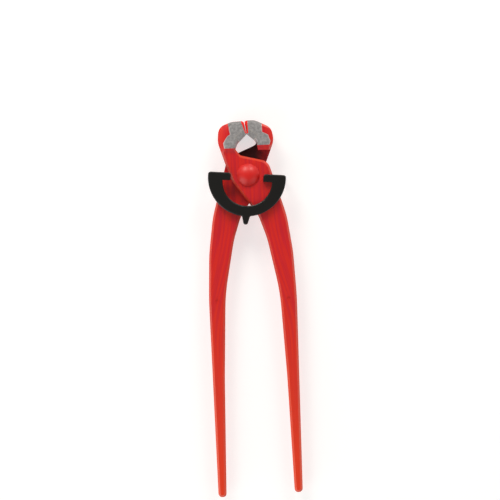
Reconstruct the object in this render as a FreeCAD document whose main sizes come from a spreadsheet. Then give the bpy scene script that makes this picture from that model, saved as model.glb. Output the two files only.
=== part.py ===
# Tile nippers: two drop-forged arms that cross in a half-lap joint, a domed rivet through both,
# carbide tips brazed into the parrot-beak jaws, and the moulded clip that keeps the tool shut.
#
# Frame: the tool lies on its back. X is across it, Y runs from the pivot towards the jaws, Z is up
# through the rivet. The origin is on the rivet's axis, in the plane that the tool rests on.
import FreeCAD, Part
import math
import os
import Sketcher

Vector = FreeCAD.Vector

doc = FreeCAD.newDocument("tile_nippers")
sheet = doc.addObject("Spreadsheet::Sheet", "sizes")

# ---------------------------------------------------------------- sizes, in millimetres and degrees
SIZES = {
    # the forging, seen from its edge
    "jaw_width": 15.0,            # the length of the cutting edge
    "boss_drop": 1.5,             # how far the joint's faces lie below the jaws' faces
    "root_drop": 2.7,             # the same where the handle leaves the joint
    "end_drop": 4.4,              # the same at the end of the handle
    "front_crest_foot": 15.6,     # where the front arm's jaw starts to fall to the joint's face
    "rear_crest_foot": 16.9,
    "crest_slope": 3.0,           # how long that fall is
    "crest_rounding": 4.5,
    "boss_end": -15.8,            # where the joint's face starts to thin into the handle
    "root_along": -34.8,
    "slope_rounding": 14.0,
    "edge_bevel": 1.2,
    "waste": 5.0,                 # how far each cut reaches into the open
    "rear_handle_extra": 1.2,     # the rear handle is this much longer
    # the jaws' backs, turned down round a flat crest
    "crest_centre": 20.2,
    "crest_radius": 13.2,
    "back_reach": 3.8,
    "back_fall": 2.2,
    "back_rounding": 6.0,
    "back_turn": 118.0,           # round towards the gap between the jaws
    "cheek_turn": 26.0,           # round towards the joint
    # the gap above the cutting edges, wider at the front face than at the rear
    "front_flank_lean": 1.3,
    "rear_flank_lean": 1.4,
    # the hardness tester's dent in each handle's front
    "dent_across": 20.6,
    "dent_along": -71.8,
    "dent_radius": 1.1,
    "dent_floor": 11.5,
    # the half-lap joint
    "lap_gap": 0.1,               # between the two sliding faces
    "lap_radius": 17.7,           # the round floor on which the other arm's boss turns
    "front_step": 14.8,           # where the front arm's jaw is full again
    "rear_step": 14.2,            # where the rear arm's jaw is full again
    "step_start": 6.3,            # the inner end of that step
    # the rivet
    "shank_radius": 4.0,
    "running_clearance": 0.05,
    "dome_radius": 6.5,
    "dome_height": 3.0,
    "dome_rim": 0.4,
    "rear_head_radius": 6.2,
    # the carbide tips
    "braze_film": 0.25,
    # the clip
    "clip_radius": 22.4,
    "clip_opening_radius": 14.2,
    "clip_opening_across": 0.3,   # the opening sits off the middle
    "clip_top": 2.35,             # its straight top edge, above the centre of its round
    "horn_depth": 4.5,
    "horn_reach": 9.4,            # from the middle to the tip of a horn
    "horn_rounding": 1.5,
    "clip_thickness": 3.0,
    "clip_edge_rounding": 0.7,
    "clip_gap": 0.2,              # between the clip and the joint's face
    "clip_across": -0.7,          # the centre of its round
    "clip_along": -1.4,
    "clip_turn": -5.0,
    "peg_length": 4.7,
    "peg_across": 0.5,
    "peg_root": 4.6,
    "peg_tip": 2.2,
    "peg_rounding": 1.2,
    "leg_thickness": 1.6,
    "leg_inset": 0.5,             # from the clip's outer edge
    "leg_depth": 2.4,
    "leg_clearance": 1.5,         # between its end and the plane the tool rests on
}

# Corners of the arms' outlines: across, along, and the radius that rounds the corner, if any.
# The front arm has the left jaw and the right handle. The rear arm's handle is its mirror image,
# but for its length.
HANDLE = {
    "waist": (-8.9, -3.8, 14.0),
    "crotch": (5.0, -23.2, 20.0),
    "inner_root": (9.6, -36.8, 60.0),
    "inner_bend": (15.7, -67.8, 120.0),
    "inner_taper": (18.0, -116.8, 200.0),
    "end_inner": (19.7, -183.5, 2.0),
    "end_outer": (24.3, -183.5, 2.2),
    "outer_bend": (25.35, -70.8, 200.0),
    "outer_root": (24.2, -44.8, 90.0),
    "hip": (21.3, -23.8, 60.0),
}
FRONT_JAW = {
    "front_shoulder": (11.75, 7.5, 6.5),
    "front_web": (-3.9, 11.4, 2.0),
    "front_mouth": (-6.9, 15.1, 2.0),
    "front_lip": (-5.2, 18.8, 5.0),
    "front_edge": (0.05, 23.9, None),
    "front_crown": (-1.3, 31.1, None),
    "front_top": (-8.5, 30.8, 8.0),
    "front_back": (-15.9, 28.0, 5.5),
    "front_cheek": (-16.8, 19.4, 12.0),
    "front_neck": (-12.4, 5.4, 10.0),
}
REAR_JAW = {
    "rear_shoulder": (-12.4, 7.4, 5.0),
    "rear_web": (-5.0, 13.2, 2.0),
    "rear_web_end": (3.7, 16.8, 1.2),
    "rear_mouth": (5.7, 18.1, 1.2),
    "rear_lip": (4.4, 20.1, 4.0),
    "rear_edge": (0.15, 23.9, None),
    "rear_crown": (-0.95, 31.3, None),
    "rear_top": (5.0, 31.4, 8.0),
    "rear_back": (14.3, 26.7, 6.0),
    "rear_cheek": (15.6, 19.4, 10.0),
    "rear_neck": (9.9, 5.2, 10.0),
}
# The carbide tips' other corners: each tip lies along the mouth, behind the cutting edge.
FRONT_TIP = {
    "front_tip_heel": (-4.3, 19.6, None),
    "front_tip_back": (-6.5, 21.8, None),
    "front_tip_flank": (-0.54, 27.05, None),
}
REAR_TIP = {
    "rear_tip_heel": (4.2, 20.3, None),
    "rear_tip_back": (6.2, 22.7, None),
    "rear_tip_flank": (-0.4, 27.6, None),
}


def fill_sheet():
    """Write every size to the sheet, a row each, under its own alias."""
    rows = dict(SIZES)
    for table in (HANDLE, FRONT_JAW, REAR_JAW, FRONT_TIP, REAR_TIP):
        for corner, (across, along, rounding) in table.items():
            rows[corner + "_across"] = across
            rows[corner + "_along"] = along
            if rounding is not None:
                rows[corner + "_rounding"] = rounding
    for number, (alias, value) in enumerate(rows.items(), start=1):
        sheet.set(f"A{number}", alias)
        sheet.set(f"B{number}", str(value))
        sheet.setAlias(f"B{number}", alias)
    doc.recompute()


def terms_of(text):
    """Split a sum such as "jaw_width/2 - boss_drop" into terms of sign, word and divisor."""
    sign = 1
    for term in text.split():
        if term in "+-":
            sign = 1 if term == "+" else -1
        else:
            word, _, divisor = term.partition("/")
            yield sign, word, float(divisor or 1)


def amount(text):
    """The value of such a sum, from the sheet."""
    return sum(sign * (float(word) if word[0].isdigit() else float(getattr(sheet, word))) / divisor
               for sign, word, divisor in terms_of(text))


def formula(text):
    """The same sum as an expression on the sheet."""
    return "0" + "".join((" + " if sign > 0 else " - ") + (word if word[0].isdigit() else "sizes." + word)
                         + f" / {divisor:g}" for sign, word, divisor in terms_of(text))


# ---------------------------------------------------------------- sketches and features
def new_body(name):
    body = doc.addObject("PartDesign::Body", name)
    body.Label = name
    return body


def new_sketch(body, name, role="XY_Plane", height=None):
    """A sketch on one of the body's own planes, lifted off it where a height is given."""
    sketch = body.newObject("Sketcher::SketchObject", f"{body.Name}_{name}")
    plane = next(plane for plane in body.Origin.OriginFeatures if plane.Role == role)
    sketch.AttachmentSupport = (plane, "")
    sketch.MapMode = "FlatFace"
    if height is not None:
        sketch.setExpression("AttachmentOffset.Base.z", formula(height))
    return sketch


def flip(text):
    """The terms of a sum with every sign turned over."""
    for sign, word, divisor in terms_of(text):
        yield "-" if sign > 0 else "+"
        yield word if divisor == 1 else f"{word}/{divisor:g}"


def on_level(edge, height):
    """True for an edge that lies wholly at one height above its own sketch plane."""
    box = edge.BoundBox
    return abs(box.ZMin - amount(height)) < 0.001 and box.ZLength < 0.001


def at_horn_or_corner(edge):
    """True for the upright edges of the crescent's four top corners."""
    box = edge.BoundBox
    return box.ZLength > 0.9 * edge.Length and abs(box.YMin - amount("clip_top")) < 0.001


def bind(sketch, kind, geometry, name, text):
    """Add a named dimension that follows the sheet."""
    number = sketch.addConstraint(Sketcher.Constraint(kind, *geometry, amount(text)))
    sketch.renameConstraint(number, name)
    sketch.setExpression(f"Constraints.{name}", formula(text))


def join_ends(sketch, edges):
    """Join each edge's end to the next edge's start, round to the first."""
    for before, after in zip(edges, edges[1:] + edges[:1]):
        sketch.addConstraint(Sketcher.Constraint("Coincident", before, 2, after, 1))


def outline(sketch, corners):
    """Draw a closed outline through corners (name, across, along, rounding), and round them."""
    points = [Vector(amount(across), amount(along), 0) for _, across, along, _ in corners]
    following = points[1:] + points[:1]
    lines = [sketch.addGeometry(Part.LineSegment(here, after)) for here, after in zip(points, following)]
    join_ends(sketch, lines)
    for line, (name, across, along, _) in zip(lines, corners):
        bind(sketch, "DistanceX", (-1, 1, line, 1), name + "_across", across)
        bind(sketch, "DistanceY", (-1, 1, line, 1), name + "_along", along)
    for i, (name, _, _, rounding) in enumerate(corners):
        if rounding is None:
            continue
        first_new = sketch.GeometryCount
        sketch.fillet(lines[i - 1], lines[i], (points[i - 1] + points[i]) / 2, (following[i] + points[i]) / 2,
                      amount(rounding), True, True)
        arc = next(number for number in range(first_new, sketch.GeometryCount)
                   if sketch.Geometry[number].TypeId == "Part::GeomArcOfCircle")
        bind(sketch, "Radius", (arc,), name + "_rounding", rounding)


def corners_of(table, mirrored=False):
    """One of the tables above as corners, mirrored across the tool where asked."""
    sign = "- " if mirrored else ""

    def along(name):
        return name + "_along" + (" - rear_handle_extra" if mirrored and name.startswith("end_") else "")

    return [(name, f"{sign}{name}_across", along(name), None if rounding is None else f"{name}_rounding")
            for name, (_, _, rounding) in table.items()]


def pad(body, sketch, name, length, downward=False):
    feature = body.newObject("PartDesign::Pad", f"{body.Name}_{name}")
    feature.Profile = sketch
    feature.Reversed = downward
    feature.setExpression("Length", formula(length))
    doc.recompute()
    return feature


def pocket(body, sketch, name, depth=None, both_ways=False):
    """Cut a sketch away upwards, to a depth or through everything, or both ways through everything."""
    feature = body.newObject("PartDesign::Pocket", f"{body.Name}_{name}")
    feature.Profile = sketch
    feature.Reversed = True
    if depth is None:
        feature.Type = "ThroughAll"
    else:
        feature.setExpression("Length", formula(depth))
    if both_ways:
        feature.SideType = "Symmetric"
    doc.recompute()
    return feature


def edges_where(feature, wanted):
    """The names of a feature's edges that pass a test, for a fillet or a chamfer."""
    return [f"Edge{number}" for number, edge in enumerate(feature.Shape.Edges, start=1) if wanted(edge)]


def round_edges(body, feature, name, radius, wanted):
    fillet = body.newObject("PartDesign::Fillet", f"{body.Name}_{name}")
    fillet.Base = (feature, edges_where(feature, wanted))
    fillet.setExpression("Radius", formula(radius))
    doc.recompute()
    return fillet


def bevel_edges(body, feature, name, bevel, wanted):
    chamfer = body.newObject("PartDesign::Chamfer", f"{body.Name}_{name}")
    chamfer.Base = (feature, edges_where(feature, wanted))
    chamfer.setExpression("Size", formula(bevel))
    doc.recompute()
    return chamfer


# ---------------------------------------------------------------- the arms
# Each arm is one forging: its outline padded to the width of the jaws, thinned from both faces
# towards the handle's end, its edges bevelled, and cut to half its width where it crosses the other.

def front_level(drop):
    """A height that lies below the jaws' front face."""
    return "jaw_width - " + drop


def rear_level(drop):
    """A height that lies as far above their rear face."""
    return " ".join(flip("- " + drop)).removeprefix("+ ")


FACES = {"front_face": front_level, "rear_face": rear_level}


def thin_face(body, name, crest_foot):
    """Cut the waste off one face, down to the forging's side profile."""
    sketch = new_sketch(body, name + "_profile", "YZ_Plane")
    level = FACES[name]
    jaw, end = "rear_top_along + waste", "end_inner_along - waste"
    outside = level("0 + waste") if name == "front_face" else "- waste"
    outline(sketch, [
        ("jaw", jaw, level("0"), None),
        ("slope_top", crest_foot, level("0"), "crest_rounding"),
        ("slope_foot", crest_foot + " - crest_slope", level("boss_drop"), "crest_rounding"),
        ("boss", "boss_end", level("boss_drop"), "slope_rounding"),
        ("root", "root_along", level("root_drop"), "slope_rounding"),
        ("end", end, level("end_drop"), None),
        ("end_outside", end, outside, None),
        ("jaw_outside", jaw, outside, None),
    ])
    return pocket(body, sketch, name, both_ways=True)


def lap_outline(sketch, stops):
    """The floor of the lap: half a circle below the pivot, closed above it through the given stops."""
    radius = amount("lap_radius")
    arc = sketch.addGeometry(Part.ArcOfCircle(Part.Circle(Vector(), Vector(0, 0, 1), radius), math.pi, math.tau))
    points = [Vector(radius, 0, 0)] + [Vector(amount(x), amount(y), 0) for x, y in stops] + [Vector(-radius, 0, 0)]
    lines = [sketch.addGeometry(Part.LineSegment(here, after)) for here, after in zip(points, points[1:])]
    join_ends(sketch, [arc] + lines)
    sketch.addConstraint(Sketcher.Constraint("Coincident", arc, 3, -1, 1))
    sketch.addConstraint(Sketcher.Constraint("PointOnObject", arc, 1, -1))
    sketch.addConstraint(Sketcher.Constraint("PointOnObject", arc, 2, -1))
    bind(sketch, "Radius", (arc,), "floor_radius", "lap_radius")
    for number, (line, (across, along)) in enumerate(zip(lines, stops)):
        bind(sketch, "DistanceX", (-1, 1, line, 2), f"stop_{number}_across", across)
        bind(sketch, "DistanceY", (-1, 1, line, 2), f"stop_{number}_along", along)


def circle(sketch, radius, across="0", along="0"):
    centre = Vector(amount(across), amount(along), 0)
    ring = sketch.addGeometry(Part.Circle(centre, Vector(0, 0, 1), amount(radius)))
    if centre.Length == 0:
        sketch.addConstraint(Sketcher.Constraint("Coincident", ring, 3, -1, 1))
    else:
        bind(sketch, "DistanceX", (-1, 1, ring, 3), "across", across)
        bind(sketch, "DistanceY", (-1, 1, ring, 3), "along", along)
    bind(sketch, "Radius", (ring,), "radius", radius)


def on_border(edge):
    """True for the edges between an arm's faces and its sides, but for those round the tip's seat."""
    middle = edge.valueAt((edge.FirstParameter + edge.LastParameter) / 2)
    box = edge.BoundBox
    upright = box.ZLength > 0.9 * edge.Length
    across_face = box.YLength < 0.001 and box.ZLength < 0.001 and middle.y > amount("end_inner_along + waste")
    return not upright and not across_face and middle.y < amount("front_lip_along")


def turn_back(body, side):
    """Turn the rim of the jaw's flat crest down round its back, on both faces."""
    sketch = new_sketch(body, "back_profile", "XZ_Plane", "- crest_centre")

    def across(text):
        return " ".join(flip(text)) if side == "- " else text

    near, rim = across("crest_radius - back_reach"), across("crest_radius")
    edge, out = across("crest_radius + back_reach"), across("crest_radius + back_reach + waste")
    for name, level in FACES.items():
        outside = level("0 + waste") if name == "front_face" else "- waste"
        outline(sketch, [
            (name + "_crest", near, level("0"), None),
            (name + "_rim", rim, level("0"), "back_rounding"),
            (name + "_fallen", edge, level("back_fall"), None),
            (name + "_out", out, level("back_fall"), None),
            (name + "_out_high", out, outside, None),
            (name + "_crest_high", near, outside, None),
        ])
    groove = body.newObject("PartDesign::Groove", body.Name + "_back")
    groove.Profile = sketch
    groove.ReferenceAxis = (sketch, ["V_Axis"])
    groove.Type = "TwoAngles"
    groove.Reversed = side == "- "
    groove.setExpression("Angle", formula("back_turn"))
    groove.setExpression("Angle2", formula("cheek_turn"))
    doc.recompute()


def lean_flank(body, side):
    """Lean the flank above the cutting edge away from the other jaw, more and more to the front."""
    name = "front" if side == "- " else "rear"
    edge, crown, lean = name + "_edge", name + "_crown", name + "_flank_lean"
    away, open_side = ("- ", "+ ") if side == "- " else ("+ ", "- ")
    above = f"{crown}_along + {crown}_along/16 - {edge}_along/16"
    base = f"{crown}_across + {crown}_across/16 - {edge}_across/16"
    sections = []
    for face, height, reach in (("rear", None, base), ("front", "jaw_width", f"{base} {away}{lean} {away}{lean}/16")):
        sketch = new_sketch(body, f"flank_{face}", height=height)
        outline(sketch, [("edge", edge + "_across", edge + "_along", None), ("above", reach, above, None),
                         ("open", f"{edge}_across {open_side}waste", above, None)])
        sections.append(sketch)
    loft = body.newObject("PartDesign::SubtractiveLoft", body.Name + "_flank")
    loft.Profile = sections[0]
    loft.Sections = sections[1:]
    loft.Ruled = True
    doc.recompute()


def forge_arm(name, corners, side):
    body = new_body(name)
    plan = new_sketch(body, "plan")
    outline(plan, corners)
    pad(body, plan, "blank", "jaw_width")
    thin_face(body, "rear_face", name.replace("arm", "crest_foot"))
    thinned = thin_face(body, "front_face", name.replace("arm", "crest_foot"))
    bevel_edges(body, thinned, "bevels", "edge_bevel", on_border)
    turn_back(body, side)
    return body


def bore(body, radius):
    sketch = new_sketch(body, "bore_outline")
    circle(sketch, radius)
    pocket(body, sketch, "bore")


def dent(body, side):
    sketch = new_sketch(body, "dent_outline", height="dent_floor")
    circle(sketch, "dent_radius", side + "dent_across", "dent_along")
    pocket(body, sketch, "dent")


def tip_corners(table, edge):
    """The corners of a carbide tip as points, round from the cutting edge to the flank."""
    return [Vector(amount(name + "_across"), amount(name + "_along"), 0) for name in [edge, *table]]


def push_sides(points, distances):
    """Move each side of a convex outline outwards by its own distance and find the new corners."""
    middle = sum(points, Vector()) / len(points)
    sides = []
    for here, after, distance in zip(points, points[1:] + points[:1], distances):
        direction = (after - here).normalize()
        outward = Vector(direction.y, -direction.x, 0)
        if outward.dot(here - middle) < 0:
            outward = -outward
        sides.append((here + outward * distance, direction))
    corners = []
    for (start, along), (other, across) in zip(sides[-1:] + sides[:-1], sides):
        turn = along.x * across.y - along.y * across.x
        reach = ((other.x - start.x) * across.y - (other.y - start.y) * across.x) / turn
        corners.append(start + along * reach)
    return corners


def as_corners(points, names):
    """Worked-out points as sharp corners of an outline."""
    def text(value):
        return f"{'- ' if value < 0 else ''}{abs(value):.6f}"
    return [(name, text(point.x), text(point.y), None) for name, point in zip(names, points)]


def cut_seat(body, tip):
    """The step that a carbide tip is brazed into, open to the mouth and to the gap above the edge."""
    film, open_side = amount("braze_film"), amount("braze_film") * 4
    sketch = new_sketch(body, "seat_outline")
    outline(sketch, as_corners(push_sides(tip, [open_side, film, film, open_side]),
                               ["edge", "heel", "back", "flank"]))
    pocket(body, sketch, "seat")


def front_arm():
    body = forge_arm("front_arm", corners_of(FRONT_JAW) + corners_of(HANDLE), "- ")
    lap = new_sketch(body, "lap_outline")
    lap_outline(lap, [("lap_radius", "front_step"), ("- lap_radius", "front_step")])
    pocket(body, lap, "lap", "jaw_width/2 + lap_gap/2")
    bore(body, "shank_radius + running_clearance")
    cut_seat(body, tip_corners(FRONT_TIP, "front_edge"))
    lean_flank(body, "- ")
    dent(body, "")
    return body


def rear_arm():
    body = forge_arm("rear_arm", corners_of(REAR_JAW) + corners_of(HANDLE, mirrored=True), "")
    lap = new_sketch(body, "lap_outline", height="jaw_width/2 - lap_gap/2")
    lap_outline(lap, [("lap_radius", "rear_step"), ("step_start", "rear_step"),
                      ("rear_mouth_across", "rear_mouth_along"), ("- lap_radius", "rear_mouth_along")])
    pocket(body, lap, "lap")
    bore(body, "shank_radius")
    cut_seat(body, tip_corners(REAR_TIP, "rear_edge"))
    lean_flank(body, "")
    dent(body, "- ")
    return body


# ---------------------------------------------------------------- the carbide tips and their braze
def carbide_tip(name, tip, side):
    """A sintered carbide block as long as the jaw is wide."""
    body = new_body(name)
    sketch = new_sketch(body, "section")
    outline(sketch, as_corners(tip, ["edge", "heel", "back", "flank"]))
    pad(body, sketch, "block", "jaw_width")
    lean_flank(body, side)
    return body


def tip_braze(name, tip, side):
    """The film of braze between a tip and the two walls of its seat."""
    body = new_body(name)
    film = amount("braze_film")
    _, heel, back, flank = push_sides(tip, [0, film, film, 0])
    sketch = new_sketch(body, "section")
    outline(sketch, as_corners([tip[1], tip[2], tip[3], flank, back, heel],
                               ["tip_heel", "tip_back", "tip_flank", "seat_flank", "seat_back", "seat_heel"]))
    pad(body, sketch, "film", "jaw_width")
    lean_flank(body, side)
    return body


# ---------------------------------------------------------------- the rivet
def pivot_rivet():
    """Domed over the front arm, with a running gap, and closed flat behind the rear arm."""
    body = new_body("pivot_rivet")
    sketch = new_sketch(body, "half_section", "XZ_Plane")
    dome_base = "jaw_width - boss_drop + running_clearance"
    rim = dome_base + " + dome_rim"
    crown = rim + " + dome_height"
    stops = [("0", "0"), ("rear_head_radius", "0"), ("rear_head_radius", "boss_drop"), ("shank_radius", "boss_drop"),
             ("shank_radius", dome_base), ("dome_radius", dome_base), ("dome_radius", rim)]
    points = [Vector(amount(across), amount(up), 0) for across, up in stops]
    top = Vector(0, amount(crown), 0)
    radius, height = amount("dome_radius"), amount("dome_height")
    ball = (radius ** 2 + height ** 2) / (2 * height)
    shoulder = math.asin((ball - height) / ball)
    lines = [sketch.addGeometry(Part.LineSegment(here, after)) for here, after in zip(points, points[1:])]
    arc = sketch.addGeometry(Part.ArcOfCircle(Part.Circle(top - Vector(0, ball, 0), Vector(0, 0, 1), ball),
                                              shoulder, math.pi / 2))
    axis = sketch.addGeometry(Part.LineSegment(top, points[0]))
    join_ends(sketch, lines + [arc, axis])
    for number, (line, (across, up)) in enumerate(zip(lines, stops)):
        bind(sketch, "DistanceX", (-1, 1, line, 1), f"stop_{number}_across", across)
        bind(sketch, "DistanceY", (-1, 1, line, 1), f"stop_{number}_up", up)
    bind(sketch, "DistanceX", (-1, 1, lines[-1], 2), "rim_across", "dome_radius")
    bind(sketch, "DistanceY", (-1, 1, lines[-1], 2), "rim_up", rim)
    bind(sketch, "DistanceY", (-1, 1, arc, 2), "crown_up", crown)
    sketch.addConstraint(Sketcher.Constraint("PointOnObject", arc, 2, -2))
    sketch.addConstraint(Sketcher.Constraint("PointOnObject", arc, 3, -2))
    turned = body.newObject("PartDesign::Revolution", "pivot_rivet_turned")
    turned.Profile = sketch
    turned.ReferenceAxis = (sketch, ["V_Axis"])
    doc.recompute()
    return body


# ---------------------------------------------------------------- the clip
def crescent(sketch):
    """The clip's outline: a round below, straight across the top, and a horn at each end inside."""
    radius, top, opening = amount("clip_radius"), amount("clip_top"), amount("clip_opening_radius")
    middle, reach, low = amount("clip_opening_across"), amount("horn_reach"), amount("clip_top - horn_depth")
    corner = math.sqrt(radius ** 2 - top ** 2)
    turn = math.asin(top / radius)
    outside = sketch.addGeometry(Part.ArcOfCircle(Part.Circle(Vector(), Vector(0, 0, 1), radius),
                                                  math.pi - turn, 2 * math.pi + turn))
    inside = Part.ArcOfCircle(Part.Circle(Vector(middle, low, 0), Vector(0, 0, 1), opening), math.pi, math.tau)

    def line(start, end):
        return sketch.addGeometry(Part.LineSegment(Vector(*start, 0), Vector(*end, 0)))

    right = [line((corner, top), (reach, top)), line((reach, top), (reach, low)),
             line((reach, low), (middle + opening, low))]
    opening_arc = sketch.addGeometry(inside)
    left = [line((middle - opening, low), (-reach, low)), line((-reach, low), (-reach, top)),
            line((-reach, top), (-corner, top))]

    def join(first, first_end, second, second_end):
        sketch.addConstraint(Sketcher.Constraint("Coincident", first, first_end, second, second_end))

    join(outside, 2, right[0], 1)
    join(right[0], 2, right[1], 1)
    join(right[1], 2, right[2], 1)
    join(right[2], 2, opening_arc, 2)
    join(opening_arc, 1, left[0], 1)
    join(left[0], 2, left[1], 1)
    join(left[1], 2, left[2], 1)
    join(left[2], 2, outside, 1)
    sketch.addConstraint(Sketcher.Constraint("Coincident", outside, 3, -1, 1))
    for level in (right[0], left[2], right[2], left[0]):
        sketch.addConstraint(Sketcher.Constraint("Horizontal", level))
    for upright in (right[1], left[1]):
        sketch.addConstraint(Sketcher.Constraint("Vertical", upright))
    bind(sketch, "Radius", (outside,), "radius", "clip_radius")
    bind(sketch, "Radius", (opening_arc,), "opening_radius", "clip_opening_radius")
    bind(sketch, "DistanceX", (-1, 1, opening_arc, 3), "opening_across", "clip_opening_across")
    bind(sketch, "DistanceX", (-1, 1, right[1], 1), "right_reach", "horn_reach")
    bind(sketch, "DistanceX", (-1, 1, left[1], 1), "left_reach", "- horn_reach")
    bind(sketch, "DistanceY", (-1, 1, right[0], 2), "right_top", "clip_top")
    bind(sketch, "DistanceY", (-1, 1, left[2], 1), "left_top", "clip_top")
    bind(sketch, "DistanceY", (-1, 1, right[2], 1), "right_low", "clip_top - horn_depth")
    bind(sketch, "DistanceY", (-1, 1, left[0], 2), "left_low", "clip_top - horn_depth")
    bind(sketch, "DistanceY", (-1, 1, opening_arc, 3), "opening_along", "clip_top - horn_depth")


def retaining_clip():
    """A moulded crescent over the joint's front, with a leg down each side and a peg below."""
    body = new_body("retaining_clip")
    face = new_sketch(body, "crescent")
    crescent(face)
    plate = pad(body, face, "plate", "clip_thickness")
    peg = new_sketch(body, "peg_outline")
    bed = "- clip_radius + peg_rounding"
    foot = "- clip_radius - peg_length"
    outline(peg, [
        ("bed_left", "peg_across - peg_root", bed, None),
        ("root_left", "peg_across - peg_root/2", "- clip_radius", "peg_rounding"),
        ("tip_left", "peg_across - peg_tip/2", foot, "peg_rounding"),
        ("tip_right", "peg_across + peg_tip/2", foot, "peg_rounding"),
        ("root_right", "peg_across + peg_root/2", "- clip_radius", "peg_rounding"),
        ("bed_right", "peg_across + peg_root", bed, None),
    ])
    pegged = pad(body, peg, "peg", "clip_thickness")
    rounded = round_edges(body, pegged, "corners", "horn_rounding", at_horn_or_corner)
    round_edges(body, rounded, "softened", "clip_edge_rounding", lambda edge: on_level(edge, "clip_thickness"))
    outer = "clip_radius - leg_inset"
    inner = outer + " - leg_thickness"
    upper = "clip_top - leg_inset"
    lower = upper + " - leg_depth"
    for name, side in (("right_leg", ""), ("left_leg", "- ")):
        near = " ".join(flip(inner)) if side else inner
        far = " ".join(flip(outer)) if side else outer
        leg = new_sketch(body, name + "_outline")
        outline(leg, [("near_low", near, lower, None), ("far_low", far, lower, None),
                      ("far_high", far, upper, None), ("near_high", near, upper, None)])
        pad(body, leg, name, "jaw_width - boss_drop + clip_gap - leg_clearance", downward=True)
    body.setExpression("Placement.Base.x", formula("clip_across"))
    body.setExpression("Placement.Base.y", formula("clip_along"))
    body.setExpression("Placement.Base.z", formula("jaw_width - boss_drop + clip_gap"))
    body.setExpression("Placement.Rotation.Angle", formula("clip_turn"))
    doc.recompute()
    return body


def check_and_export(parts):
    """Stop on any failed object or bad solid, then write one STEP file for each sub-part."""
    doc.recompute()
    for thing in doc.Objects:
        if "Invalid" in thing.State or "Error" in thing.State:
            raise RuntimeError(f"{thing.Name} failed: {thing.State}")
    os.makedirs("parts", exist_ok=True)
    for part in parts:
        if part.Shape.isNull() or not part.Shape.isValid():
            raise RuntimeError(f"{part.Label} has no valid shape")
        part.Shape.exportStep(f"parts/{part.Label}.step")
        print(part.Label, len(part.Shape.Solids), round(part.Shape.Volume, 1), part.Shape.BoundBox)


fill_sheet()
front_tip = tip_corners(FRONT_TIP, "front_edge")
rear_tip = tip_corners(REAR_TIP, "rear_edge")
check_and_export([
    front_arm(),
    rear_arm(),
    carbide_tip("front_carbide_tip", front_tip, "- "),
    carbide_tip("rear_carbide_tip", rear_tip, ""),
    tip_braze("front_tip_braze", front_tip, "- "),
    tip_braze("rear_tip_braze", rear_tip, ""),
    pivot_rivet(),
    retaining_clip(),
])
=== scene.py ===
import math

import bpy
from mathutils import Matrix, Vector

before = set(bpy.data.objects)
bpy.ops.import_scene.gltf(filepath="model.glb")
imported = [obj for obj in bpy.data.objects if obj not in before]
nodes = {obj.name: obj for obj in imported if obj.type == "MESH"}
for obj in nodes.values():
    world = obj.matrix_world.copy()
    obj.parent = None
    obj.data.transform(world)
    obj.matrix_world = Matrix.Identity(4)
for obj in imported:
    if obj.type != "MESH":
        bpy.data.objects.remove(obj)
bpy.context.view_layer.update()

# The camera: a copy stand's, hung with a long lens straight over the tool,
# which lies on its back, and turned so that the jaws lean a little to the
# left.
MM = 0.001
LOOKED_AT = Vector((-0.6, -43.1, 12.0)) * MM
FIELD_WIDTH = 287.5 * MM
SENSOR_WIDTH = 36.0
LENS = 200.0
CAMERA_TURN = math.radians(-2.27)

camera_data = bpy.data.cameras.new("copy_stand_camera")
camera_data.lens = LENS
camera_data.sensor_width = SENSOR_WIDTH
camera = bpy.data.objects.new("copy_stand_camera", camera_data)
camera.location = LOOKED_AT + Vector((0, 0, FIELD_WIDTH * LENS / SENSOR_WIDTH))
camera.rotation_euler = (0, 0, CAMERA_TURN)
bpy.context.scene.collection.objects.link(camera)
bpy.context.scene.camera = camera
bpy.context.scene.view_settings.view_transform = "Standard"

# The table: a sheet of opal acrylic lit from below, an even, hardly glossy
# white that keeps the tool's shadows pale.
TABLE_HALF = 3.0
TABLE_TOP = -0.02 * MM


def linear(code):
    """A colour's sRGB hex value as linear red, green, blue and alpha."""
    parts = [int(code[at : at + 2], 16) / 255 for at in (1, 3, 5)]
    return [
        part / 12.92 if part <= 0.04045 else ((part + 0.055) / 1.055) ** 2.4
        for part in parts
    ] + [1.0]


def add_node(material, kind, settings=None, inputs=None):
    """A new node of a material, with its settings made and its sockets set or
    linked."""
    node = material.node_tree.nodes.new(kind)
    for name, value in (settings or {}).items():
        setattr(node, name, value)
    for name, value in (inputs or {}).items():
        if isinstance(value, bpy.types.NodeSocket):
            material.node_tree.links.new(value, node.inputs[name])
        else:
            node.inputs[name].default_value = value
    return node


def new_material(name):
    """A material that has no nodes yet."""
    material = bpy.data.materials.new(name)
    material.use_nodes = True
    material.node_tree.nodes.clear()
    return material


acrylic = new_material("lit_opal_acrylic")
acrylic_surface = add_node(
    acrylic,
    "ShaderNodeBsdfPrincipled",
    inputs={
        "Base Color": linear("#B4B4B2"),
        "Roughness": 0.7,
        "Emission Color": linear("#FFFFFF"),
        "Emission Strength": 0.64,
    },
)
add_node(
    acrylic, "ShaderNodeOutputMaterial", inputs={"Surface": acrylic_surface.outputs[0]}
)
table_mesh = bpy.data.meshes.new("table")
table_mesh.from_pydata(
    [(x, y, 0) for x, y in ((-1, -1), (1, -1), (1, 1), (-1, 1))], [], [(0, 1, 2, 3)]
)
table_mesh.materials.append(acrylic)
table = bpy.data.objects.new("table", table_mesh)
table.scale = (TABLE_HALF, TABLE_HALF, 1)
table.location.z = TABLE_TOP
bpy.context.scene.collection.objects.link(table)

# The lamps: two warm softboxes beyond the jaws, whose two highlights show in
# the rivet, two white ones this side of the handles, and three low lamps that
# pick out the bevels.
WARM_WHITE = "#FFF8F0"
WHITE = "#FFFFFF"


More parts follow.
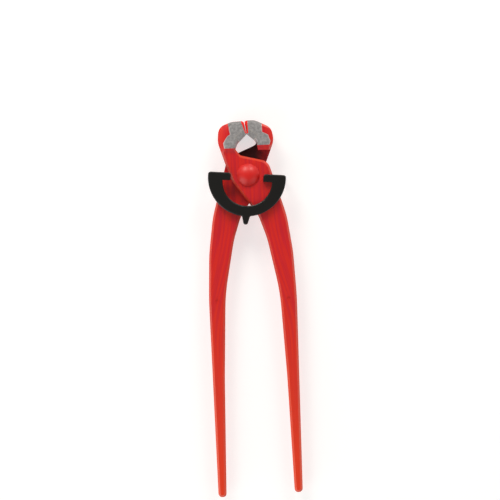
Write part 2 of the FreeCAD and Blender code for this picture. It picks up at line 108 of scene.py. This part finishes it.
def softbox(name, towards, distance, size, power, colour):
    """A square lamp behind white cloth, so many metres from the rivet in that
    direction and turned to it."""
    data = bpy.data.lights.new(name, "AREA")
    data.shape = "SQUARE"
    data.size = size
    data.energy = power
    data.color = linear(colour)[:3]
    lamp = bpy.data.objects.new(name, data)
    lamp.location = Vector(towards).normalized() * distance
    lamp.rotation_euler = (-Vector(towards)).to_track_quat("-Z", "Y").to_euler()
    bpy.context.scene.collection.objects.link(lamp)


softbox("upper_left_softbox", (-0.31, 0.75, 0.58), 1.3, 0.5, 8.7, WARM_WHITE)
softbox("upper_right_softbox", (0.38, 0.75, 0.52), 1.3, 0.5, 6.2, WARM_WHITE)
softbox("lower_left_softbox", (-0.62, -0.6, 0.5), 1.2, 0.9, 4.3, WHITE)
softbox("lower_right_softbox", (0.6, -0.62, 0.5), 1.2, 0.9, 1.4, WHITE)
softbox("lower_left_edge_lamp", (-0.78, -0.62, 0.07), 1.3, 0.36, 2.2, WHITE)
softbox("left_edge_lamp", (-1.0, -0.16, 0.06), 1.3, 0.3, 0.2, WHITE)
softbox("upper_edge_lamp", (0.24, 0.96, 0.07), 1.3, 0.3, 1.0, WHITE)

# The room round the table: pale walls near the table's height, and a dark
# ceiling over the camera that keeps the flat faces' colour deep.
WALLS_END = 0.25
CEILING_FROM = 0.85
WALL_BRIGHTNESS = 0.45
CEILING_BRIGHTNESS = 0.2

room = bpy.data.worlds.new("pale_walls_dark_ceiling")
room.use_nodes = True
direction = add_node(room, "ShaderNodeTexCoord")
elevation = add_node(
    room, "ShaderNodeSeparateXYZ", inputs={"Vector": direction.outputs["Generated"]}
)
brightness = add_node(
    room,
    "ShaderNodeMapRange",
    inputs={
        "Value": elevation.outputs["Z"],
        "From Min": WALLS_END,
        "From Max": CEILING_FROM,
        "To Min": WALL_BRIGHTNESS,
        "To Max": CEILING_BRIGHTNESS,
    },
)
walls = room.node_tree.nodes["Background"]
walls.inputs["Color"].default_value = linear("#FFFFFF")
room.node_tree.links.new(brightness.outputs[0], walls.inputs["Strength"])
bpy.context.scene.world = room

# The rear arm: jaw, boss and handle in one drop forging of tool steel, dipped
# in red enamel and stoved. The crest of its jaw is then ground flat and bare
# with the cutting edge. Sizes are in millimetres.
ENAMEL_SCARLET = "#DC1C0C"
ENAMEL_CRIMSON = "#CC0E20"
GRAIN_WIDTH = 1.6
GRAIN_LENGTH = 45.0
GRAIN_DEPTH = 6.4
BOW_FROM = -8.0
BOW_TO = -110.0
BOW_DEPTH = 15.5

ENAMEL_ORANGE = "#EE3B0E"
MOST_ORANGE = 0.9
ORANGE_FROM = -35.0
ORANGE_TO = -185.0

# A painted highlight that makes the bevels paler.
BEVEL_PAINTED_HIGHLIGHT = "#E46A40"
BEVEL_HIGHLIGHT_SHARE = 0.28

# Painted shade for the web between the jaws, the lap's floor above the boss.
WEB_PAINTED_SHADE = "#300505"
LAP_FLOOR = 7.6
WEB_FROM = 5.0
WEB_FULL = 8.0
WEB_SHADE_FULL = 4.0
WEB_SHADE_THIN = 13.0
LEAST_WEB_SHADE = 0.35

ENAMEL_IOR = 1.5
ENAMEL_ROUGHNESS = 0.42
ENAMEL_COAT = 0.4
WEB_SHADE_ROUGHNESS = 0.9
SWELL_WIDTH = 4.5
SWELL_HEIGHT = 0.3

# A brighter red in the gap above the edge, partly painted light in its shade.
GAP_PAINTED_LIGHT_RED = "#F5220E"
DULL_ROUGHNESS = 0.95

GROUND_STEEL = "#C9C7C6"
GROUND_STEEL_DARK = "#A6A4A4"
# A painted highlight along the border of the ground steel, for its burr.
BURR_PAINTED_HIGHLIGHT = "#F4F1EE"
# Painted shade on the ground steel where the crest turns down.
CHAMFER_PAINTED_SHADE = "#7E7C7B"
STEEL_ROUGHNESS = 0.55
BURR_HIGHLIGHT_SHARE = 0.6
BURR_HIGHLIGHT_FROM = 0.7
BURR_HIGHLIGHT_FULL = 0.3
CHAMFER_SHADE_SHARE = 0.85
CHAMFER_FROM = 23.0
CHAMFER_FULL = 27.0
MOTTLE_WIDTH = 1.25
RAG_WIDTH = 1.11
RAG_DEPTH = 0.5
CREST = 15.0
LOWEST_GROUND = 13.6
WIDEST = 20.0

REAR_GROUND_FROM = 16.9
REAR_GROUND_REACH = [
    (16.5, 13.0),
    (19.1, 13.7),
    (22.8, 12.4),
    (24.4, 9.15),
    (29.6, 9.1),
    (32.0, 9.1),
]
REAR_GAP_SIDE = [(23.9, 1.05), (31.3, 0.75)]


def in_millimetres(material, side):
    """The place on the tool in millimetres from the rivet, as a vector and as
    across, along and height. Across grows from the gap between the jaws
    towards the jaw's back: side is 1 for the jaw on the right, -1 for the
    left."""
    place = add_node(material, "ShaderNodeTexCoord")
    millimetres = add_node(
        material,
        "ShaderNodeVectorMath",
        {"operation": "MULTIPLY"},
        {0: place.outputs["Object"], 1: (side / MM, 1 / MM, 1 / MM)},
    ).outputs[0]
    axes = add_node(material, "ShaderNodeSeparateXYZ", inputs={"Vector": millimetres})
    return millimetres, axes.outputs


def enamel_bands(material, across, along, height):
    """The stoved enamel's colour: a clear, deep red with faint bands along the
    forging's grain, which follows the handle's bow, turning a little orange
    towards the handle's end."""
    bow = add_node(
        material,
        "ShaderNodeMapRange",
        {"interpolation_type": "SMOOTHERSTEP"},
        {
            "Value": along,
            "From Min": BOW_FROM,
            "From Max": BOW_TO,
            "To Max": BOW_DEPTH,
        },
    )
    unbowed = add_node(
        material,
        "ShaderNodeMath",
        {"operation": "ADD"},
        {0: across, 1: bow.outputs[0]},
    )
    grain = add_node(
        material,
        "ShaderNodeCombineXYZ",
        inputs={"X": unbowed.outputs[0], "Y": along, "Z": height},
    )
    drawn_out = add_node(
        material,
        "ShaderNodeVectorMath",
        {"operation": "DIVIDE"},
        {0: grain.outputs[0], 1: (GRAIN_WIDTH, GRAIN_LENGTH, GRAIN_DEPTH)},
    )
    bands = add_node(
        material,
        "ShaderNodeTexNoise",
        inputs={"Vector": drawn_out.outputs[0], "Scale": 1.0, "Detail": 3.0},
    )
    crimson_share = add_node(
        material,
        "ShaderNodeMapRange",
        inputs={"Value": bands.outputs["Fac"], "From Min": 0.42, "From Max": 0.6},
    )
    banded = add_node(
        material,
        "ShaderNodeMix",
        {"data_type": "RGBA"},
        {
            "Factor": crimson_share.outputs[0],
            6: linear(ENAMEL_SCARLET),
            7: linear(ENAMEL_CRIMSON),
        },
    )
    towards_handle_end = add_node(
        material,
        "ShaderNodeMapRange",
        {"interpolation_type": "SMOOTHSTEP"},
        {
            "Value": along,
            "From Min": ORANGE_FROM,
            "From Max": ORANGE_TO,
            "To Max": MOST_ORANGE,
        },
    )
    orange_ended = add_node(
        material,
        "ShaderNodeMix",
        {"data_type": "RGBA"},
        {
            "Factor": towards_handle_end.outputs[0],
            6: banded.outputs[2],
            7: linear(ENAMEL_ORANGE),
        },
    )
    return orange_ended.outputs[2]


def gap_above_edge(material, across, along, gap_side):
    """How far across the jaw a point lies from the gap above the cutting
    edge, and the share of a point that is in it. The gap's side runs between
    the two places, along and across, in gap_side, and the edge is at the
    first."""
    (edge, edge_across), (crown, crown_across) = gap_side
    side = add_node(
        material,
        "ShaderNodeMapRange",
        {"clamp": False},
        {
            "Value": along,
            "From Min": edge,
            "From Max": crown,
            "To Min": edge_across,
            "To Max": crown_across,
        },
    )
    off_gap = add_node(
        material,
        "ShaderNodeMath",
        {"operation": "SUBTRACT"},
        {0: across, 1: side.outputs[0]},
    )
    beyond_side = add_node(
        material,
        "ShaderNodeMapRange",
        inputs={"Value": off_gap.outputs[0], "From Min": 0.0, "From Max": -0.05},
    )
    above_edge = add_node(
        material,
        "ShaderNodeMath",
        {"operation": "GREATER_THAN"},
        {0: along, 1: edge},
    )
    in_gap = add_node(
        material,
        "ShaderNodeMath",
        {"operation": "MULTIPLY"},
        {0: beyond_side.outputs[0], 1: above_edge.outputs[0]},
    )
    return off_gap.outputs[0], in_gap.outputs[0]


def dull_enamel(material):
    """The enamel in the narrow gap above the cutting edge, where it dries dull,
    in a brighter red that is partly painted light against the gap's shade."""
    return add_node(
        material,
        "ShaderNodeBsdfPrincipled",
        inputs={
            "Base Color": linear(GAP_PAINTED_LIGHT_RED),
            "Roughness": DULL_ROUGHNESS,
            "IOR": ENAMEL_IOR,
        },
    )


def wheel_mottle(material, millimetres, dark, pale):
    """The fine mottle that the grinding wheel leaves, from dark to pale."""
    mottle = add_node(
        material,
        "ShaderNodeTexNoise",
        inputs={"Vector": millimetres, "Scale": 1 / MOTTLE_WIDTH, "Detail": 4.0},
    )
    pale_share = add_node(
        material,
        "ShaderNodeMapRange",
        inputs={"Value": mottle.outputs["Fac"], "From Min": 0.35, "From Max": 0.65},
    )
    mottled = add_node(
        material,
        "ShaderNodeMix",
        {"data_type": "RGBA"},
        {"Factor": pale_share.outputs[0], 6: linear(dark), 7: linear(pale)},
    )
    return mottled.outputs[2]


def enamelled_steel(name, side, ground_from, ground_reach, gap_side):
    """Gloss stoving enamel over a drop forging, with a painted highlight that
    makes the bevels paler and painted shade that darkens the web between the
    jaws. Above ground_from, the crest shows surface-ground steel: a matt,
    mottled grey from the gap's side out to ground_reach, which lists how far
    across it goes at each place along, with a painted highlight at its border
    and painted shade where it turns down."""
    material = new_material(name)
    millimetres, (across, along, height) = in_millimetres(material, side)

    # A painted highlight: the bevels, halfway between flat and upright, are
    # coloured a paler enamel, as if they caught the light.
    place = add_node(material, "ShaderNodeTexCoord")
    facing = add_node(
        material, "ShaderNodeSeparateXYZ", inputs={"Vector": place.outputs["Normal"]}
    )
    off_wall = add_node(
        material,
        "ShaderNodeMapRange",
        inputs={"Value": facing.outputs["Z"], "From Min": 0.3, "From Max": 0.6},
    )
    off_flat = add_node(
        material,
        "ShaderNodeMapRange",
        inputs={
            "Value": facing.outputs["Z"],
            "From Min": 0.88,
            "From Max": 0.78,
            "To Max": BEVEL_HIGHLIGHT_SHARE,
        },
    )
    bevel_highlight = add_node(
        material,
        "ShaderNodeMath",
        {"operation": "MULTIPLY"},
        {0: off_wall.outputs[0], 1: off_flat.outputs[0]},
    )
    with_bevel_highlight = add_node(
        material,
        "ShaderNodeMix",
        {"data_type": "RGBA"},
        {
            "Factor": bevel_highlight.outputs[0],
            6: enamel_bands(material, across, along, height),
            7: linear(BEVEL_PAINTED_HIGHLIGHT),
        },
    )

    # Painted shade in the web, which is the lap's floor above the boss, a dark
    # red without gloss: low down, on what lies flat, and darkest towards the mouth.
    web_shade_share = None
    for value, none_at, all_at in (
        (height, LAP_FLOOR, LAP_FLOOR - 0.1),
        (facing.outputs["Z"], 0.6, 0.9),
        (along, WEB_FROM, WEB_FULL),
    ):
        share = add_node(
            material,
            "ShaderNodeMapRange",
            inputs={"Value": value, "From Min": none_at, "From Max": all_at},
        ).outputs[0]
        if web_shade_share is not None:
            share = add_node(
                material,
                "ShaderNodeMath",
                {"operation": "MULTIPLY"},
                {0: web_shade_share, 1: share},
            ).outputs[0]
        web_shade_share = share
    towards_mouth = add_node(
        material,
        "ShaderNodeMapRange",
        {"interpolation_type": "SMOOTHSTEP"},
        {
            "Value": across,
            "From Min": WEB_SHADE_THIN,
            "From Max": WEB_SHADE_FULL,
            "To Min": LEAST_WEB_SHADE,
        },
    )
    web_shade = add_node(
        material,
        "ShaderNodeMath",
        {"operation": "MULTIPLY"},
        {0: web_shade_share, 1: towards_mouth.outputs[0]},
    )
    enamel_colour = add_node(
        material,
        "ShaderNodeMix",
        {"data_type": "RGBA"},
        {
            "Factor": web_shade.outputs[0],
            6: with_bevel_highlight.outputs[2],
            7: linear(WEB_PAINTED_SHADE),
        },
    )
    enamel_roughness = add_node(
        material,
        "ShaderNodeMapRange",
        inputs={
            "Value": web_shade.outputs[0],
            "To Min": ENAMEL_ROUGHNESS,
            "To Max": WEB_SHADE_ROUGHNESS,
        },
    )
    gloss_left = add_node(
        material,
        "ShaderNodeMapRange",
        inputs={"Value": web_shade.outputs[0], "To Min": ENAMEL_COAT, "To Max": 0.0},
    )

    # Thick dip enamel is never quite flat: it stands in low swells.
    swells = add_node(
        material,
        "ShaderNodeTexNoise",
        inputs={"Vector": millimetres, "Scale": 1 / SWELL_WIDTH, "Detail": 2.0},
    )
    relief = add_node(
        material,
        "ShaderNodeBump",
        inputs={
            "Height": swells.outputs["Fac"],
            "Strength": 0.3,
            "Distance": SWELL_HEIGHT * MM,
        },
    )
    enamel = add_node(
        material,
        "ShaderNodeBsdfPrincipled",
        inputs={
            "Base Color": enamel_colour.outputs[2],
            "Roughness": enamel_roughness.outputs[0],
            "IOR": ENAMEL_IOR,
            "Coat Weight": gloss_left.outputs[0],
            "Coat Roughness": 0.15,
            "Normal": relief.outputs[0],
        },
    )
    off_gap, in_gap = gap_above_edge(material, across, along, gap_side)
    coating = add_node(
        material,
        "ShaderNodeMixShader",
        inputs={0: in_gap, 1: enamel.outputs[0], 2: dull_enamel(material).outputs[0]},
    )

    # Where the grinding wheel went: the crest's own level, above a straight
    # lower border, out to the reach, with a slightly ragged edge.
    first, last = ground_reach[0][0], ground_reach[-1][0]
    up_crest = add_node(
        material,
        "ShaderNodeMapRange",
        inputs={"Value": along, "From Min": first, "From Max": last},
    )
    reach = add_node(
        material, "ShaderNodeFloatCurve", inputs={"Value": up_crest.outputs[0]}
    )
    curve = reach.mapping.curves[0]
    places = [((y - first) / (last - first), x / WIDEST) for y, x in ground_reach]
    curve.points[0].location = places[0]
    curve.points[1].location = places[-1]
    for place_on_curve in places[1:-1]:
        curve.points.new(*place_on_curve)
    for point in curve.points:
        point.handle_type = "VECTOR"
    reach.mapping.update()
    border = add_node(
        material,
        "ShaderNodeMath",
        {"operation": "MULTIPLY_ADD"},
        {0: reach.outputs[0], 1: WIDEST, 2: 0.4 * RAG_DEPTH},
    )
    rags = add_node(
        material,
        "ShaderNodeTexNoise",
        inputs={"Vector": millimetres, "Scale": 1 / RAG_WIDTH, "Detail": 2.0},
    )
    wandering = add_node(
        material,
        "ShaderNodeMath",
        {"operation": "MULTIPLY_ADD"},
        {0: rags.outputs["Fac"], 1: RAG_DEPTH, 2: across},
    )
    inside_border = add_node(
        material,
        "ShaderNodeMath",
        {"operation": "SUBTRACT"},
        {0: border.outputs[0], 1: wandering.outputs[0]},
    ).outputs[0]
    ground = inside_border
    for value, start, softness in (
        (along, ground_from, 0.2),
        (height, LOWEST_GROUND, 0.03),
        (off_gap, 0.0, 0.1),
    ):
        beyond = add_node(
            material,
            "ShaderNodeMapRange",
            inputs={"Value": value, "From Min": start, "From Max": start + softness},
        )
        ground = add_node(
            material,
            "ShaderNodeMath",
            {"operation": "MULTIPLY"},
            {0: ground, 1: beyond.outputs[0]},
        ).outputs[0]
    bared = add_node(
        material,
        "ShaderNodeMapRange",
        inputs={"Value": ground, "From Min": 0.0, "From Max": 0.2},
    )

    # A painted highlight for the burr the wheel turned up at the border, and
    # painted shade, darker steel, where the crest turns down round the jaw's top.
    burr_highlight = add_node(
        material,
        "ShaderNodeMapRange",
        inputs={
            "Value": inside_border,
            "From Min": BURR_HIGHLIGHT_FROM,
            "From Max": BURR_HIGHLIGHT_FULL,
            "To Max": BURR_HIGHLIGHT_SHARE,
        },
    )
    with_burr_highlight = add_node(
        material,
        "ShaderNodeMix",
        {"data_type": "RGBA"},
        {
            "Factor": burr_highlight.outputs[0],
            6: wheel_mottle(material, millimetres, GROUND_STEEL_DARK, GROUND_STEEL),
            7: linear(BURR_PAINTED_HIGHLIGHT),
        },
    )
    towards_top = add_node(
        material,
        "ShaderNodeMapRange",
        inputs={
            "Value": along,
            "From Min": CHAMFER_FROM,
            "From Max": CHAMFER_FULL,
            "To Max": CHAMFER_SHADE_SHARE,
        },
    )
    chamfer_shade = add_node(
        material,
        "ShaderNodeMapRange",
        inputs={
            "Value": height,
            "From Min": CREST - 0.03,
            "From Max": CREST - 0.1,
            "To Max": towards_top.outputs[0],
        },
    )
    steel_colour = add_node(
        material,
        "ShaderNodeMix",
        {"data_type": "RGBA"},
        {
            "Factor": chamfer_shade.outputs[0],
            6: with_burr_highlight.outputs[2],
            7: linear(CHAMFER_PAINTED_SHADE),
        },
    )
    steel = add_node(
        material,
        "ShaderNodeBsdfPrincipled",
        inputs={
            "Base Color": steel_colour.outputs[2],
            "Metallic": 1.0,
            "Roughness": STEEL_ROUGHNESS,
        },
    )
    surface = add_node(
        material,
        "ShaderNodeMixShader",
        inputs={0: bared.outputs[0], 1: coating.outputs[0], 2: steel.outputs[0]},
    )
    add_node(
        material, "ShaderNodeOutputMaterial", inputs={"Surface": surface.outputs[0]}
    )
    return material


nodes["rear_arm"].data.materials[0] = enamelled_steel(
    "enamelled_rear_forging", 1, REAR_GROUND_FROM, REAR_GROUND_REACH, REAR_GAP_SIDE
)

# The front arm: the same forging turned over, whose boss lies on the rear
# arm's and shows its full face. A running fit on the rivet lets it swing.
FRONT_GROUND_FROM = 15.6
FRONT_GROUND_REACH = [
    (14.5, 13.3),
    (15.6, 13.3),
    (18.7, 13.7),
    (22.2, 11.5),
    (23.7, 9.6),
    (28.8, 10.5),
    (32.0, 10.8),
]
FRONT_GAP_SIDE = [(23.9, 0.65), (31.1, 3.05)]
nodes["front_arm"].data.materials[0] = enamelled_steel(
    "enamelled_front_forging",
    -1,
    FRONT_GROUND_FROM,
    FRONT_GROUND_REACH,
    FRONT_GAP_SIDE,
)

# The cutting tips: sintered tungsten carbide, brazed into the jaws' edges
# before the dip, so that their flanks above the edge are enamelled with the
# arms, and ground bare with the crests: a fine grey, a shade darker.
CARBIDE = {
    "dark": "#A19FA0",
    "pale": "#C2C0BF",
    "metallic": 1.0,
    "roughness": 0.52,
}
REAR_FACE = 0.02


def ground_with_crest(name, side, gap_side, dark, pale, metallic, roughness):
    """A metal let into the jaw, as the diamond wheel left it: matt, with a
    fine mottle from dark to pale. Dull enamel covers the flank above the
    edge, but not the rear face."""
    material = new_material(name)
    millimetres, (across, along, height) = in_millimetres(material, side)
    face = add_node(
        material,
        "ShaderNodeBsdfPrincipled",
        inputs={
            "Base Color": wheel_mottle(material, millimetres, dark, pale),
            "Metallic": metallic,
            "Roughness": roughness,
        },
    )
    in_gap = gap_above_edge(material, across, along, gap_side)[1]
    off_rear = add_node(
        material,
        "ShaderNodeMath",
        {"operation": "GREATER_THAN"},
        {0: height, 1: REAR_FACE},
    )
    on_flank = add_node(
        material,
        "ShaderNodeMath",
        {"operation": "MULTIPLY"},
        {0: in_gap, 1: off_rear.outputs[0]},
    )
    surface = add_node(
        material,
        "ShaderNodeMixShader",
        inputs={
            0: on_flank.outputs[0],
            1: face.outputs[0],
            2: dull_enamel(material).outputs[0],
        },
    )
    add_node(
        material, "ShaderNodeOutputMaterial", inputs={"Surface": surface.outputs[0]}
    )
    return material


nodes["rear_carbide_tip"].data.materials[0] = ground_with_crest(
    "ground_rear_carbide", 1, REAR_GAP_SIDE, **CARBIDE
)
nodes["front_carbide_tip"].data.materials[0] = ground_with_crest(
    "ground_front_carbide", -1, FRONT_GAP_SIDE, **CARBIDE
)

# The braze: a film of silver solder drawn into the joint under each tip, seen
# as a pale line where the joint was ground and lost under the enamel in the
# gap.
SOLDER = {
    "dark": "#B2AAA1",
    "pale": "#C8C0B7",
    "metallic": 0.45,
    "roughness": 0.45,
}
nodes["rear_tip_braze"].data.materials[0] = ground_with_crest(
    "rear_silver_solder", 1, REAR_GAP_SIDE, **SOLDER
)
nodes["front_tip_braze"].data.materials[0] = ground_with_crest(
    "front_silver_solder", -1, FRONT_GAP_SIDE, **SOLDER
)

# The pivot rivet: cold-headed steel, its domed head enamelled with the arms,
# which gives it a soft gloss over the same low swells.
RIVET_SWELL_WIDTH = 3.85 * MM
RIVET_SWELL_HEIGHT = 0.25 * MM

rivet = new_material("enamelled_rivet")
rivet_place = add_node(rivet, "ShaderNodeTexCoord")
rivet_swells = add_node(
    rivet,
    "ShaderNodeTexNoise",
    inputs={
        "Vector": rivet_place.outputs["Object"],
        "Scale": 1 / RIVET_SWELL_WIDTH,
        "Detail": 2.0,
    },
)
rivet_relief = add_node(
    rivet,
    "ShaderNodeBump",
    inputs={
        "Height": rivet_swells.outputs["Fac"],
        "Strength": 0.25,
        "Distance": RIVET_SWELL_HEIGHT,
    },
)
rivet_enamel = add_node(
    rivet,
    "ShaderNodeBsdfPrincipled",
    inputs={
        "Base Color": linear("#D8160F"),
        "Roughness": 0.45,
        "IOR": ENAMEL_IOR,
        "Coat Weight": 0.18,
        "Coat Roughness": 0.24,
        "Normal": rivet_relief.outputs[0],
    },
)
add_node(rivet, "ShaderNodeOutputMaterial", inputs={"Surface": rivet_enamel.outputs[0]})
nodes["pivot_rivet"].data.materials[0] = rivet

# The retaining clip: a crescent moulded in black polypropylene, pushed over
# the handles' roots to hold the nippers shut for hanging. The mould's spark
# grain takes the shine off it, and is drawn coarser than it is, to show.
CLIP_GRAIN_WIDTH = 0.667 * MM
CLIP_GRAIN_DEPTH = 0.1 * MM

clip = new_material("moulded_polypropylene")
clip_place = add_node(clip, "ShaderNodeTexCoord")
clip_grain = add_node(
    clip,
    "ShaderNodeTexNoise",
    inputs={
        "Vector": clip_place.outputs["Object"],
        "Scale": 1 / CLIP_GRAIN_WIDTH,
        "Detail": 2.0,
    },
)
clip_relief = add_node(
    clip,
    "ShaderNodeBump",
    inputs={
        "Height": clip_grain.outputs["Fac"],
        "Strength": 0.3,
        "Distance": CLIP_GRAIN_DEPTH,
    },
)
clip_surface = add_node(
    clip,
    "ShaderNodeBsdfPrincipled",
    inputs={
        "Base Color": linear("#0F0E0B"),
        "Roughness": 0.36,
        "IOR": 1.49,
        "Normal": clip_relief.outputs[0],
    },
)
add_node(clip, "ShaderNodeOutputMaterial", inputs={"Surface": clip_surface.outputs[0]})
nodes["retaining_clip"].data.materials[0] = clip
